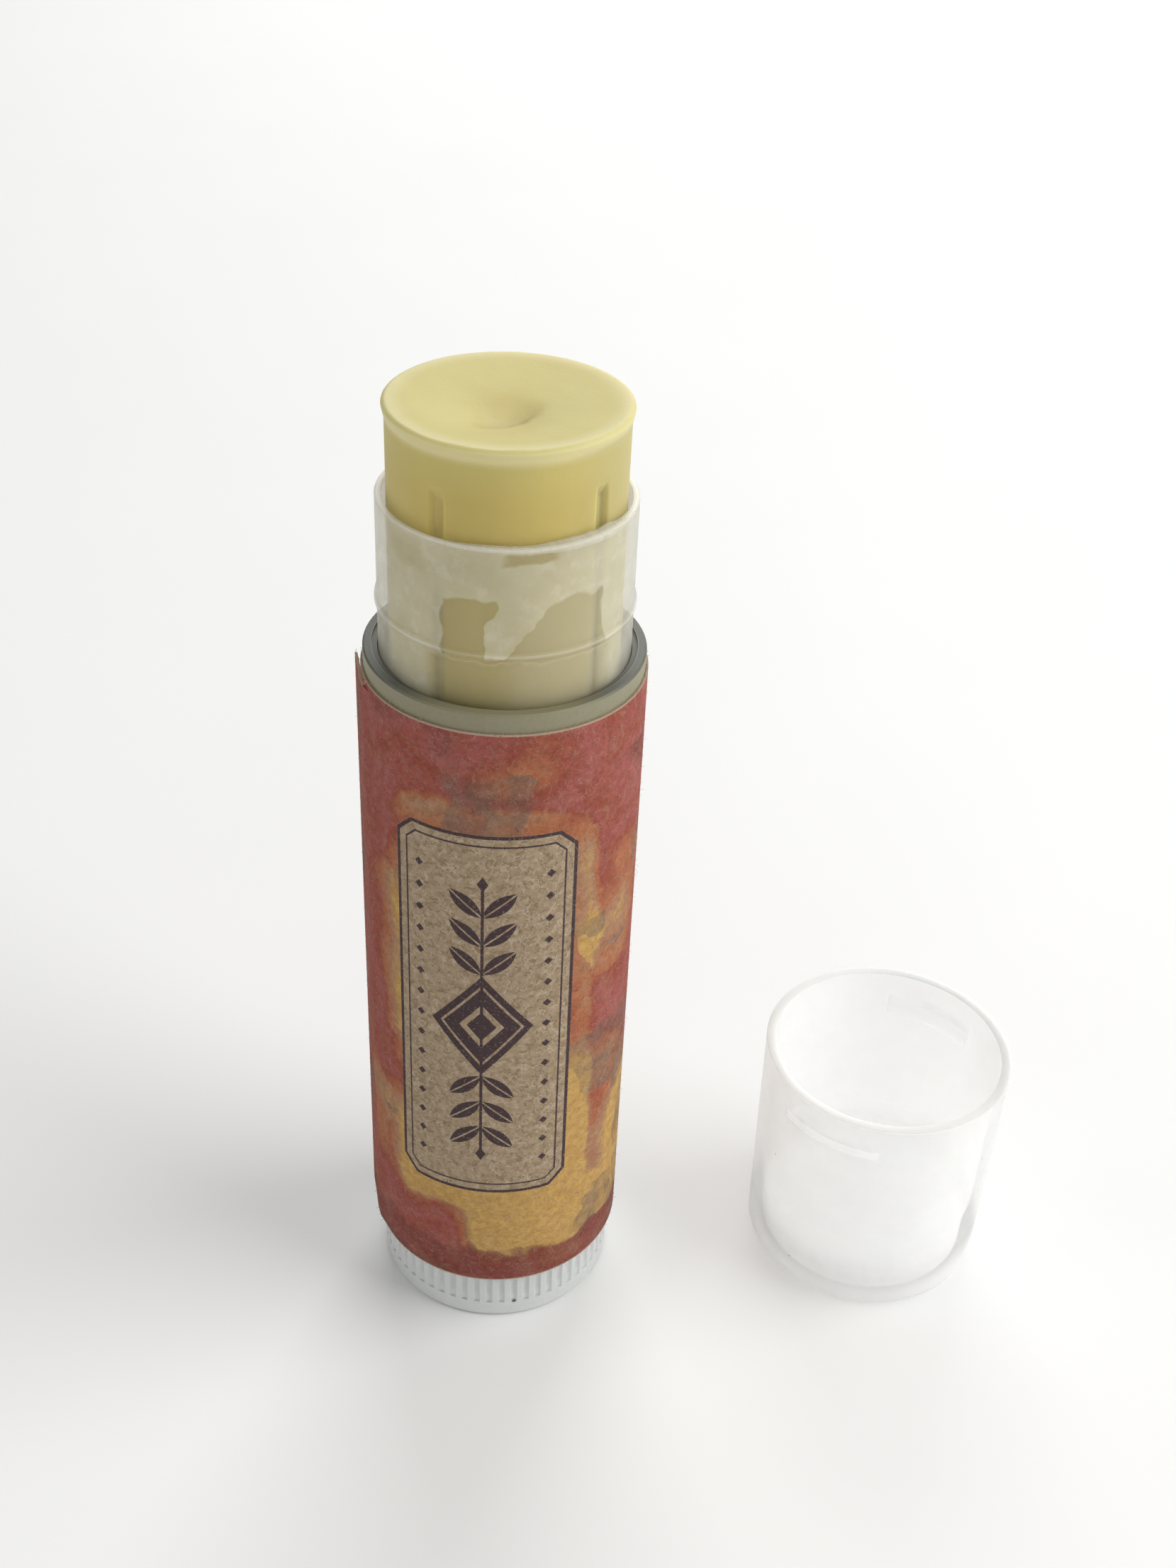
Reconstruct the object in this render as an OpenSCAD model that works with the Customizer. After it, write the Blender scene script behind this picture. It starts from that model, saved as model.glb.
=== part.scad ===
// Twist-up lip balm stick with its cap standing beside it, mouth up.
// Millimetres, +Z up. The origin is the middle of the dial's flat underside, on the stick's axis.
// The front of the stick faces -Y. Turning the dial clockwise, seen from below, raises the balm.

/* [Outer sleeve] */
// Outer diameter of the silver sleeve
tube_od = 16.0; // [15:0.1:18]
// Length of the sleeve
sleeve_len = 44.05; // [40:0.05:55]
// Wall of the sleeve
sleeve_wall = 0.65; // [0.5:0.05:0.9]
// Height of the inward lip that holds the barrel's shoulder
lip_h = 0.7; // [0.4:0.05:1.2]
// Drop from the sleeve's top land to its inner lip
lip_drop = 0.15; // [0.08:0.01:0.3]
// Width of the sleeve's top land
land_w = 0.5; // [0.35:0.05:0.6]
// Chamfer round the sleeve's outer edges
sleeve_edge = 0.1; // [0.05:0.01:0.2]

/* [Inner barrel] */
// Height of the neck above the sleeve's top
neck_h = 9.25; // [8:0.05:12]
// Radial step from the barrel's body in to its neck
neck_step = 0.21; // [0.15:0.01:0.35]
// Wall of the neck
neck_wall = 0.57; // [0.45:0.01:0.8]
// Height of the cap's snap bead above the sleeve's top
bead_rise = 3.03; // [2.5:0.01:4]
// Radius of the bead's round back
bead_round = 0.35; // [0.3:0.01:0.45]
// How far the bead stands out of the neck
bead_proud = 0.15; // [0.1:0.01:0.18]
// Chamfer on the mouth's outer edge
mouth_edge = 0.12; // [0.06:0.01:0.2]
// Width of each guide rib inside the barrel
rib_w = 0.55; // [0.4:0.05:0.8]
// Height of the guide ribs off the barrel's wall
rib_in = 0.35; // [0.25:0.01:0.45]
// Distance from the mouth down to the top of the guide ribs
rib_below_mouth = 3.35; // [2.5:0.05:6]
// Direction of the guide ribs' line of symmetry, from the front towards the right
rib_turn = 7.5; // [0:0.5:45]
// Half of the angle between the two guide ribs of a pair
rib_spread = 41.5; // [35:0.5:55]

/* [Label] */
// Thickness of the paper
paper = 0.12; // [0.08:0.01:0.2]
// Bare sleeve left above the label
label_margin = 1.15; // [0.5:0.05:4]
// Angle over which the label's end covers its start
overlap_angle = 25; // [15:1:40]
// Angle over which the label's end has come unstuck
peel_angle = 15; // [8:1:20]
// How far the label's end stands off
peel = 0.36; // [0.1:0.01:0.6]
// How much lower the top of the label's end lies
end_drop = 0.45; // [0:0.05:0.8]
// Direction of the label's end, from the front towards the left
seam_turn = 97; // [80:1:180]

/* [Twist dial] */
// Height of the dial
dial_h = 4.05; // [3.5:0.05:8]
// Radial step from the sleeve in to the dial
dial_inset = 0.32; // [0.1:0.01:0.6]
// Wall of the dial under its flutes
dial_wall = 0.8; // [0.6:0.05:1]
// Thickness of the dial's floor
dial_floor = 1.0; // [0.8:0.05:1.6]
// Round on the dial's lower edge
dial_round = 0.35; // [0.2:0.05:0.6]
// Smooth foot below the flutes
foot_h = 1.35; // [1:0.05:2]
// Number of flutes
flute_count = 58; // [48:1:64]
// Radius of each flute's hollow
flute_r = 0.3; // [0.25:0.01:0.35]
// Depth of each flute
flute_depth = 0.12; // [0.08:0.01:0.16]
// Wall of the socket that drives the screw
socket_wall = 0.85; // [0.6:0.05:1.1]
// Number of webs between the socket and the dial's wall
web_count = 8; // [4:1:12]
// Thickness of each web
web_w = 0.8; // [0.6:0.05:1.2]

/* [Lead screw] */
// Side of the square plug pressed into the dial
plug_side = 6.4; // [5.5:0.1:6.8]
// Height of the disc that turns in the barrel's foot
disc_h = 2.3; // [1.8:0.1:3.5]
// How far the disc's snap ring stands out
snap_proud = 0.15; // [0.1:0.01:0.2]
// Height of the snap ring
snap_h = 0.5; // [0.4:0.05:0.7]
// Diameter of the screw's core
core_d = 3.2; // [2.8:0.1:3.6]
// Depth of the thread
thread_depth = 0.6; // [0.45:0.05:0.7]
// Rise of the thread in one turn
pitch = 2.5; // [2:0.1:3.2]
// Distance from the mouth down to the screw's tip
tip_below_mouth = 3.2; // [2.8:0.1:6]
// Height of the plain tip above the thread
tip_h = 0.9; // [0.6:0.1:1.5]

/* [Elevator cup] */
// Height of the cup
cup_h = 7.0; // [6:0.1:9]
// Wall of the cup
cup_wall = 0.5; // [0.4:0.05:0.7]
// Thickness of the cup's floor
cup_floor = 1.0; // [0.7:0.05:1.4]
// Height of nut left over beside its ridge
nut_margin = 0.6; // [0.4:0.05:1]
// Wall of the nut
nut_wall = 1.2; // [0.9:0.05:1.5]
// Width of the windows that the balm grips
window_w = 2.4; // [1.5:0.1:3]
// Height of the windows
window_h = 2.2; // [1.5:0.1:3]

/* [Balm] */
// How far the balm is wound up above the mouth
raised = 5.2; // [0:0.1:30]
// How far the cast lip stands out of the balm's side
balm_lip_w = 0.17; // [0.1:0.01:0.25]
// Height of the cast lip
balm_lip_h = 0.9; // [0.5:0.05:1.5]
// Depth of the dished top
dish_depth = 0.45; // [0.2:0.05:0.7]
// Flat rim left round the dish
dish_rim = 0.12; // [0.05:0.01:0.3]
// Depth of the sunk hollow below the dish
dimple_depth = 0.4; // [0.1:0.05:0.5]
// Radius of the sunk hollow
dimple_r = 2.6; // [1.5:0.1:3.5]
// Place of the sunk hollow, to the right of the axis
dimple_x = -0.2; // [-1.5:0.1:1.5]
// Place of the sunk hollow, behind the axis
dimple_y = -0.9; // [-1.5:0.1:1.5]

/* [Cap] */
// Height of the cap
cap_h = 17.0; // [14.5:0.1:22]
// How far the cap's rim stands out past the sleeve
cap_proud = 0.13; // [0:0.01:0.2]
// Wall of the cap
cap_wall = 0.62; // [0.45:0.01:0.8]
// Thickness of the cap's closed end
cap_end = 0.9; // [0.6:0.05:1.5]
// How much narrower the closed end is, in radius
cap_draft = 0.18; // [0.05:0.01:0.35]
// Round on the closed end's outer edge
cap_round = 1.2; // [0.6:0.1:1.6]
// Height of the thicker stretch inside the closed end
crown_h = 4.2; // [2.5:0.1:5]
// How much thicker that stretch is
crown_in = 0.3; // [0.1:0.01:0.35]
// Height of the slope from the wall in to that stretch
crown_lead = 1.15; // [0.3:0.05:1.5]
// Distance from the rim to the snap lugs
lug_below_rim = 1.5; // [1.3:0.05:2.2]
// Height of the snap lugs
lug_h = 1.95; // [1.2:0.05:2]
// Length of each snap lug round the cap
lug_angle = 49; // [30:1:80]
// Direction of the first snap lug, from the front towards the left
lug_turn = 36; // [0:1:90]
// Place of the standing cap, to the right of the stick's axis
cap_x = 26.0; // [20:0.1:60]
// Place of the standing cap, behind the stick's axis
cap_y = 0.85; // [-20:0.05:20]

/* [Fits] */
// Clearance between pieces that are pressed or glued together
press_gap = 0.02; // [0.01:0.005:0.04]
// Clearance round what turns or slides
slide_gap = 0.05; // [0.03:0.01:0.1]
// Clearance round the turning disc in the barrel
disc_gap = 0.09; // [0.05:0.01:0.1]
// Gap between the dial and the tube above it
dial_gap = 0.1; // [0.05:0.01:0.3]
// Clearance between the screw's thread and the nut or the balm
thread_gap = 0.12; // [0.1:0.01:0.2]
// Clearance along the axis between the flanks of screw and nut
flank_gap = 0.2; // [0.15:0.01:0.3]
// Space left under the cup when it is wound right down
cup_rest_gap = 0.35; // [0.2:0.05:0.6]

/* [Hidden] */
$fn = 96;

// How far a cut runs past the face that it opens
over = 0.5;
// How deep a piece is buried in the one that it is fused with
bury = 0.1;

// Heights along the stick
tube_z = dial_h + dial_gap;
shoulder_z = tube_z + sleeve_len;
mouth_z = shoulder_z + neck_h;
step_z = shoulder_z - lip_drop - lip_h - press_gap;
disc_top = dial_h + disc_h;
snap_z = dial_h + disc_h / 2;
rib_top = mouth_z - rib_below_mouth;
rib_foot = disc_top + 2 * slide_gap;
thread_top = mouth_z - tip_below_mouth - tip_h;
cup_z = disc_top + cup_rest_gap + raised;
balm_top = mouth_z + raised;

// Radii, from the outside in
sleeve_r = tube_od / 2;
sleeve_bore = sleeve_r - sleeve_wall;
barrel_r = sleeve_bore - press_gap;
neck_r = barrel_r - neck_step;
bore_r = neck_r - neck_wall;
dial_r = sleeve_r - dial_inset;
disc_r = bore_r - disc_gap;
cup_r = bore_r - 2 * slide_gap;
balm_r = bore_r - slide_gap;
core_r = core_d / 2;
crest_r = core_r + thread_depth;
nut_bore = crest_r + thread_gap;
nut_r = nut_bore + nut_wall;

// Guide ribs: two mirrored pairs, as angles from +X
rib_angles = [for (side = [0, 180], half = [-1, 1]) side + rib_turn + half * rib_spread - 90];
rib_r = bore_r - rib_in;

// Thread section as shares of the pitch: rising flank, crest, falling flank, then the root
flank_share = 0.14;
crest_share = 0.28;
root_share = 1 - 2 * flank_share - crest_share;
// Steps of the thread in one turn
turn_steps = 20;
// Share of a turn that the nut's ridge covers
ridge_share = 0.85;

// The nut's ridge fills the thread's groove, less the clearances. Half of its height at the
// screw's core, at its tip and where it is buried in the nut:
flank_slope = flank_share * pitch / thread_depth;
ridge_half = root_share * pitch / 2 - flank_gap;
ridge_tip_half = ridge_half + flank_slope * thread_gap;
ridge_base = nut_bore + bury;
ridge_base_half = ridge_half + flank_slope * (ridge_base - core_r);
nut_h = 2 * ridge_base_half + ridge_share * pitch + nut_margin;
// Start of the thread, a turn down inside the disc, and middle of its first groove
thread_z = disc_top - pitch - bury;
groove_z = thread_z + (2 * flank_share + crest_share + root_share / 2) * pitch;

// Points of an arc about a centre, from one angle to another
function arc(centre, radius, from, to, steps = 8) =
    [for (i = [0 : steps]) centre + radius * [cos(from + (to - from) * i / steps),
                                              sin(from + (to - from) * i / steps)]];

// A point on a right-hand helix: steps round the turn, radius, and height above the helix's start
function helix_point(step, radius, height) =
    [radius * cos(360 * step / turn_steps),
     radius * sin(360 * step / turn_steps),
     pitch * step / turn_steps + height];

// Turns a right-hand helix into the left-hand one that lifts the cup as the dial turns
// clockwise, seen from below
module left_hand() {
    mirror([0, 1, 0])
        children();
}

// Solid whose section [radius, height] points run up the helix for a number of steps
module helix_bar(section, steps) {
    sides = len(section);
    points = [for (step = [0 : steps], p = section) helix_point(step, p[0], p[1])];
    walls = [for (step = [0 : steps - 1], k = [0 : sides - 1], half = [0, 1])
        let (here = step * sides, next = (k + 1) % sides)
        half == 0 ? [here + k, here + next, here + sides + k]
                  : [here + next, here + sides + next, here + sides + k]];
    ends = [[for (k = [sides - 1 : -1 : 0]) k], [for (k = [0 : sides - 1]) steps * sides + k]];
    polyhedron(points = points, faces = concat(walls, ends));
}

// Core and thread as one skin: each turn's root joins the turn above it, and a fan closes each end
module threaded_core(steps) {
    flank = flank_share * pitch;
    crest = crest_share * pitch;
    section = [[core_r, 0], [crest_r, flank], [crest_r, flank + crest], [core_r, 2 * flank + crest]];
    sides = len(section);
    last = steps * sides;
    skin = [for (step = [0 : steps], p = section) helix_point(step, p[0], p[1])];
    top_height = helix_point(steps, core_r, 2 * flank + crest)[2];
    foot = len(skin);
    head = foot + 1;
    points = concat(skin, [[0, 0, 0], [0, 0, top_height]]);
    thread = [for (step = [0 : steps - 1], k = [0 : sides - 2], half = [0, 1])
        let (here = step * sides + k)
        half == 0 ? [here, here + 1, here + sides] : [here + 1, here + sides + 1, here + sides]];
    root = [for (step = [0 : steps - turn_steps - 1], half = [0, 1])
        let (low = step * sides + sides - 1, high = (step + turn_steps) * sides)
        half == 0 ? [low, high, low + sides] : [high, high + sides, low + sides]];
    foot_fan = [for (step = [0 : turn_steps - 1]) [foot, step * sides, (step + 1) * sides]];
    foot_end = concat([for (k = [0 : sides - 2]) [foot, k + 1, k]],
                      [[foot, turn_steps * sides, sides - 1]]);
    head_fan = [for (step = [steps - turn_steps : steps - 1])
        [head, (step + 1) * sides + sides - 1, step * sides + sides - 1]];
    head_end = concat([for (k = [0 : sides - 2]) [head, last + k, last + k + 1]],
                      [[head, (steps - turn_steps) * sides + sides - 1, last]]);
    polyhedron(points = points, faces = concat(thread, root, foot_fan, foot_end, head_fan, head_end));
}

// Upright bars at the four guide ribs, from one radius out to another
module at_ribs(width, inner, outer, low, high) {
    for (a = rib_angles)
        rotate([0, 0, a])
            translate([inner, -width / 2, low])
                cube([outer - inner, width, high - low]);
}

// Silver sleeve: a plain tube whose inward lip holds the barrel's shoulder
module outer_sleeve() {
    lip_r = neck_r + slide_gap;
    land_r = sleeve_r - land_w;
    lip_top = shoulder_z - lip_drop;
    color("silver")
        rotate_extrude()
            polygon([[sleeve_bore, tube_z], [sleeve_r - sleeve_edge, tube_z],
                     [sleeve_r, tube_z + sleeve_edge], [sleeve_r, shoulder_z - sleeve_edge],
                     [sleeve_r - sleeve_edge, shoulder_z], [land_r, shoulder_z],
                     [land_r, lip_top], [lip_r, lip_top],
                     [lip_r, lip_top - lip_h], [sleeve_bore, lip_top - lip_h]]);
}

// Clear barrel: neck with its snap bead, guide ribs inside, and a groove for the disc's snap ring
module inner_barrel() {
    lead_w = balm_lip_w + slide_gap;
    groove_r = disc_r + snap_proud + disc_gap;
    groove_half = snap_h / 2 + slide_gap;
    color("ivory") {
        difference() {
            rotate_extrude()
                polygon([[bore_r, tube_z], [barrel_r, tube_z], [barrel_r, step_z],
                         [neck_r, step_z], [neck_r, mouth_z - mouth_edge],
                         [neck_r - mouth_edge, mouth_z], [bore_r + lead_w, mouth_z],
                         [bore_r, mouth_z - balm_lip_h]]);
            translate([0, 0, snap_z - groove_half])
                cylinder(r = groove_r, h = 2 * groove_half);
        }
        rotate_extrude()
            intersection() {
                translate([neck_r + bead_proud - bead_round, shoulder_z + bead_rise])
                    circle(r = bead_round);
                translate([neck_r - bury, shoulder_z])
                    square([bury + bead_proud, neck_h]);
            }
        at_ribs(rib_w, rib_r, bore_r + bury, rib_foot, rib_top);
    }
}

// Paper label: one turn round the sleeve, and its end laid over its start and peeling off
module label() {
    inner_r = sleeve_r + press_gap;
    outer_r = inner_r + paper;
    end_angle = 270 - seam_turn;
    steps = 12;
    // Height of the covering end off the layer below, from the seam inwards
    lifts = [for (i = [0 : steps])
        let (peeled = max(0, 1 - i / steps * overlap_angle / peel_angle)) peel * pow(peeled, 2)];
    angles = [for (i = [0 : steps]) end_angle + overlap_angle * i / steps];
    fade_angle = end_angle + overlap_angle * (1 + 1 / 3);
    cover_out = [for (i = [0 : steps])
        (outer_r + lifts[i] + paper) * [cos(angles[i]), sin(angles[i])]];
    cover_in = [for (i = [steps : -1 : 0])
        (outer_r + lifts[i] - paper / 4) * [cos(angles[i]), sin(angles[i])]];
    fade = [for (r = [outer_r, outer_r - paper / 4]) r * [cos(fade_angle), sin(fade_angle)]];
    color("peru")
        translate([0, 0, tube_z]) {
            linear_extrude(height = sleeve_len - label_margin)
                difference() {
                    circle(r = outer_r);
                    circle(r = inner_r);
                }
            linear_extrude(height = sleeve_len - label_margin - end_drop)
                polygon(concat(cover_out, fade, cover_in));
        }
}

// Silver dial: fluted wall on a smooth foot, with a square socket held by webs
module twist_dial() {
    socket_side = plug_side + 2 * press_gap;
    socket_r = socket_side / sqrt(2) + socket_wall;
    wall_r = dial_r - flute_depth - dial_wall;
    web_h = dial_h - dial_floor - slide_gap;
    color("silver") {
        rotate_extrude()
            polygon(concat([[0, 0]],
                           arc([dial_r - dial_round, dial_round], dial_round, -90, 0),
                           [[dial_r, foot_h], [wall_r, foot_h], [wall_r, dial_floor],
                            [0, dial_floor]]));
        translate([0, 0, foot_h])
            linear_extrude(height = dial_h - foot_h)
                difference() {
                    circle(r = dial_r);
                    circle(r = wall_r);
                    for (i = [0 : flute_count - 1])
                        rotate([0, 0, 360 * i / flute_count])
                            translate([dial_r - flute_depth + flute_r, 0])
                                circle(r = flute_r, $fn = 24);
                }
        difference() {
            translate([0, 0, dial_floor - bury])
                union() {
                    cylinder(r = socket_r, h = dial_h - dial_floor + bury);
                    for (i = [0 : web_count - 1])
                        rotate([0, 0, 360 * i / web_count])
                            translate([0, -web_w / 2, 0])
                                cube([wall_r + bury, web_w, web_h + bury]);
                }
            translate([-socket_side / 2, -socket_side / 2, dial_floor])
                cube([socket_side, socket_side, dial_h]);
        }
    }
}

// Screw: square plug, turning disc with its snap ring, threaded core and plain tip
module lead_screw() {
    plug_foot = dial_floor + slide_gap;
    ridge_h = (2 * flank_share + crest_share) * pitch;
    steps = floor((thread_top - thread_z - ridge_h) / pitch * turn_steps);
    tip_r = core_r - thread_gap;
    color("whitesmoke") {
        translate([-plug_side / 2, -plug_side / 2, plug_foot])
            cube([plug_side, plug_side, dial_h - plug_foot + bury]);
        rotate_extrude()
            polygon([[0, dial_h], [disc_r, dial_h], [disc_r, snap_z - snap_h / 2],
                     [disc_r + snap_proud, snap_z - snap_h / 4],
                     [disc_r + snap_proud, snap_z + snap_h / 4],
                     [disc_r, snap_z + snap_h / 2],
                     [disc_r, disc_top - snap_proud], [disc_r - snap_proud, disc_top],
                     [0, disc_top]]);
        left_hand()
            translate([0, 0, thread_z])
                threaded_core(steps);
        translate([0, 0, thread_top - pitch])
            cylinder(r = tip_r, h = pitch + tip_h);
    }
}

// Cup that carries the balm: a nut with one ridge in the screw's thread, and notches for the ribs
module elevator_cup() {
    notch_w = rib_w + 2 * slide_gap;
    notch_r = rib_r - slide_gap;
    // The ridge starts just above the cup's underside, turned to meet the groove there
    ridge_z = cup_z + ridge_base_half + nut_margin / 2;
    ridge_turn = 360 * (ridge_z - groove_z) / pitch;
    color("whitesmoke")
        difference() {
            union() {
                rotate_extrude()
                    polygon([[nut_bore, cup_z], [cup_r, cup_z], [cup_r, cup_z + cup_h],
                             [cup_r - cup_wall, cup_z + cup_h], [cup_r - cup_wall, cup_z + cup_floor],
                             [nut_r, cup_z + cup_floor], [nut_r, cup_z + nut_h],
                             [nut_bore, cup_z + nut_h]]);
                left_hand()
                    translate([0, 0, ridge_z])
                        rotate([0, 0, ridge_turn])
                            helix_bar([[core_r + thread_gap, -ridge_tip_half],
                                       [ridge_base, -ridge_base_half],
                                       [ridge_base, ridge_base_half],
                                       [core_r + thread_gap, ridge_tip_half]],
                                      round(ridge_share * turn_steps));
            }
            at_ribs(notch_w, notch_r, cup_r + over, cup_z - over, cup_z + cup_h + over);
            for (i = [0 : 3])
                rotate([0, 0, rib_turn + 90 * i])
                    translate([nut_r, -window_w / 2, cup_z + (cup_h + cup_floor - window_h) / 2])
                        cube([cup_r, window_w, window_h]);
        }
}

// Balm: cast round the screw into the cup, with the ribs' grooves in its side and a sunken top
module balm() {
    cast_r = cup_r - cup_wall - press_gap;
    cast_floor = cup_z + cup_floor + press_gap;
    cup_top = cup_z + cup_h + press_gap;
    nut_top = cup_z + nut_h + press_gap;
    bore_top = mouth_z - tip_below_mouth + raised + 2 * thread_gap;
    lip_r = balm_r + balm_lip_w;
    dish_r = lip_r - dish_rim;
    dish_ball = (pow(dish_r, 2) + pow(dish_depth, 2)) / (2 * dish_depth);
    dimple_ball = (pow(dimple_r, 2) + pow(dimple_depth, 2)) / (2 * dimple_depth);
    color("khaki")
        difference() {
            rotate_extrude()
                polygon([[nut_bore, nut_top], [nut_r + press_gap, nut_top],
                         [nut_r + press_gap, cast_floor], [cast_r, cast_floor],
                         [cast_r, cup_top], [balm_r, cup_top],
                         [balm_r, balm_top - balm_lip_h], [lip_r, balm_top - dish_rim],
                         [dish_r, balm_top], [0, balm_top], [0, bore_top], [nut_bore, bore_top]]);
            at_ribs(rib_w + 2 * slide_gap, rib_r - slide_gap, balm_r + over,
                    cast_floor - over, rib_top + raised + slide_gap);
            translate([0, 0, balm_top + dish_ball - dish_depth])
                sphere(r = dish_ball);
            translate([dimple_x, dimple_y, balm_top - dish_depth + dimple_ball - dimple_depth])
                sphere(r = dimple_ball);
        }
}

// Frosted cap standing on its closed end: snap lugs below the rim and a thicker crown inside
module cap() {
    rim_r = sleeve_r + cap_proud;
    end_r = rim_r - cap_draft;
    mouth_r = rim_r - cap_wall;
    crown_mouth_r = end_r - cap_wall;
    crown_r = crown_mouth_r - crown_in;
    inner_round = cap_round - cap_wall;
    lug_top = cap_h - lug_below_rim;
    lug_foot = lug_top - lug_h;
    lug_r = neck_r + slide_gap;
    color("white", 0.6)
        translate([cap_x, cap_y, 0]) {
            rotate_extrude()
                polygon(concat([[0, 0]],
                               arc([end_r - cap_round, cap_round], cap_round, -90, 0),
                               [[rim_r, cap_h], [mouth_r, cap_h],
                                [crown_mouth_r, crown_h + crown_lead], [crown_r, crown_h]],
                               arc([crown_r - inner_round, cap_end + inner_round], inner_round,
                                   0, -90),
                               [[0, cap_end]]));
            for (i = [0, 1])
                rotate([0, 0, 270 - lug_turn - lug_angle / 2 + 180 * i])
                    rotate_extrude(angle = lug_angle)
                        polygon([[mouth_r + bury, lug_foot], [crown_mouth_r, lug_foot],
                                 [lug_r, lug_foot + lug_h / 2], [lug_r, lug_top - lug_h / 4],
                                 [mouth_r + bury, lug_top]]);
        }
}

outer_sleeve();
inner_barrel();
label();
twist_dial();
lead_screw();
elevator_cup();
balm();
cap();
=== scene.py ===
import math

import bmesh
import bpy
from mathutils import Matrix, Vector, noise


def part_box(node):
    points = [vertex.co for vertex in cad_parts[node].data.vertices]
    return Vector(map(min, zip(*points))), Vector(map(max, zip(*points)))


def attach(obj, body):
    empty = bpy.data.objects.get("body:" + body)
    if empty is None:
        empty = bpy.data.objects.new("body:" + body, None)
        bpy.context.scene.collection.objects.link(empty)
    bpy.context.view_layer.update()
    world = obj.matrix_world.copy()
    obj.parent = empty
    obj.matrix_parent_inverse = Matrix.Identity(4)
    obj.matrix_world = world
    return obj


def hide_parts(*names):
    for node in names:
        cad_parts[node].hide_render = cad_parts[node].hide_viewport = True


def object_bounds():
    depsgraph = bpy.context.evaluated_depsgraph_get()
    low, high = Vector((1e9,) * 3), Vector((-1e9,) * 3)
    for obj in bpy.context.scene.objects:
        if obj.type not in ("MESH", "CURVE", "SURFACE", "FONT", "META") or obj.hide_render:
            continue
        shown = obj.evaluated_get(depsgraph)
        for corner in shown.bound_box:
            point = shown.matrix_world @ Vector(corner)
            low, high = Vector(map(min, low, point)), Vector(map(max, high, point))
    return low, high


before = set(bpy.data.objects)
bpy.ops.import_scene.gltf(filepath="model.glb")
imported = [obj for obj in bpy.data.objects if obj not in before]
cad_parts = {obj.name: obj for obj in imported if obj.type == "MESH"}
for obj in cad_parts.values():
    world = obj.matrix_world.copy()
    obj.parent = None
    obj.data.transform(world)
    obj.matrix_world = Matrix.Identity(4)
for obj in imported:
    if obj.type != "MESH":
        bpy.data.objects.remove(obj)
cad_low, cad_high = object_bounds()

# Camera: a phone held over the table in front of the stick, looking down at it.
# Its place, tilt and lens put the ellipses and edges of stick and cap where the photo has them.
MM = 0.001
camera_place = Vector((0.0, -90.685, 100.788)) * MM
looks_down, turned_right, rolled = (math.radians(a) for a in (34.468, 3.185, 2.694))
camera_data = bpy.data.cameras.new("camera")
camera_data.sensor_width = 36.0
camera_data.lens = 42.6
camera_data.clip_start = 1 * MM
camera = bpy.data.objects.new("camera", camera_data)
bpy.context.scene.collection.objects.link(camera)
camera.matrix_world = (
    Matrix.Translation(camera_place)
    @ Matrix.Rotation(-turned_right, 4, "Z")
    @ Matrix.Rotation(math.radians(90) - looks_down, 4, "X")
    @ Matrix.Rotation(rolled, 4, "Z")
)
bpy.context.scene.camera = camera
bpy.context.scene.view_settings.view_transform = "Standard"

# Balm: beeswax and oil, poured warm into the cup through the mouth and set there.
# It sank in the middle as it cooled, with a curved fold along the hollow's near side, and kept
# the thin lip of the mouth. The barrel's guide ribs left four grooves in its side.
balm_low, balm_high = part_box("balm")
BALM_TOP = balm_high.z / MM
BALM_R = 6.5
LIP_R = balm_high.x / MM
LIP_H = 0.9
MOUTH_FLARE = 0.2
RIM_W = 0.28
DISH_DEPTH = 0.3
HOLLOW_AT = (-0.3, -1.2)
HOLLOW_R = 3.4
HOLLOW_DEPTH = 0.34
FOLD_MIDDLE, FOLD_R = (-2.4, 1.2), 4.4
FOLD_DEPTH, FOLD_W = 0.2, 1.6
CUP_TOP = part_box("elevator_cup")[1].z / MM
CAST_R = 5.93
CAST_FLOOR = balm_low.z / MM
BORE_R, BORE_TOP = 2.32, 59.7
RIB_AZIMUTHS = (-34.0, 49.0, 146.0, 229.0)
GROOVE_HALF_W, GROOVE_IN, GROOVE_TOP = 0.40, 0.37, 59.8
BALM_TURNS = 360


def part_of_way(value, start, end):
    """0 at start, 1 at end and smooth in between."""
    share = min(1.0, max(0.0, (value - start) / (end - start)))
    return share * share * (3 - 2 * share)


def balm_top_height(x, y):
    """Height of the balm's top at a point: its rim, less the dish, the hollow and the fold."""
    radius = math.hypot(x, y)
    depth = DISH_DEPTH * max(0.0, 1 - (radius / (LIP_R - RIM_W)) ** 2) ** 1.5
    from_hollow = math.hypot(x - HOLLOW_AT[0], y - HOLLOW_AT[1]) / HOLLOW_R
    depth += HOLLOW_DEPTH * math.exp(-2.2 * from_hollow**2)
    offset = Vector((x, y)) - Vector(FOLD_MIDDLE)
    bearing = math.degrees(math.atan2(offset.y, offset.x))
    held = part_of_way(bearing, -86, -72) * (1 - part_of_way(bearing, -55, -4))
    inside = FOLD_R - offset.length + 0.12 * noise.noise(Vector((x * 1.3, y * 1.3, 8.0)))
    drop = part_of_way(inside, -0.3, 0.5) * math.exp(-((max(0.0, inside) / FOLD_W) ** 2))
    depth += held * FOLD_DEPTH * drop
    depth += 0.02 * noise.noise(Vector((x * 0.7, y * 0.7, 3.0)))
    return BALM_TOP - max(depth, 0.0)


def groove_depth(azimuth_deg, height, radius):
    """How deep a guide rib pressed into the side. The groove runs out above the mouth."""
    away = min(abs((azimuth_deg - a + 180) % 360 - 180) for a in RIB_AZIMUTHS)
    inside = 1 - part_of_way(math.radians(away) * radius, GROOVE_HALF_W - 0.1, GROOVE_HALF_W + 0.1)
    return GROOVE_IN * inside * (1 - part_of_way(height, GROOVE_TOP - 0.4, GROOVE_TOP))


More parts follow.
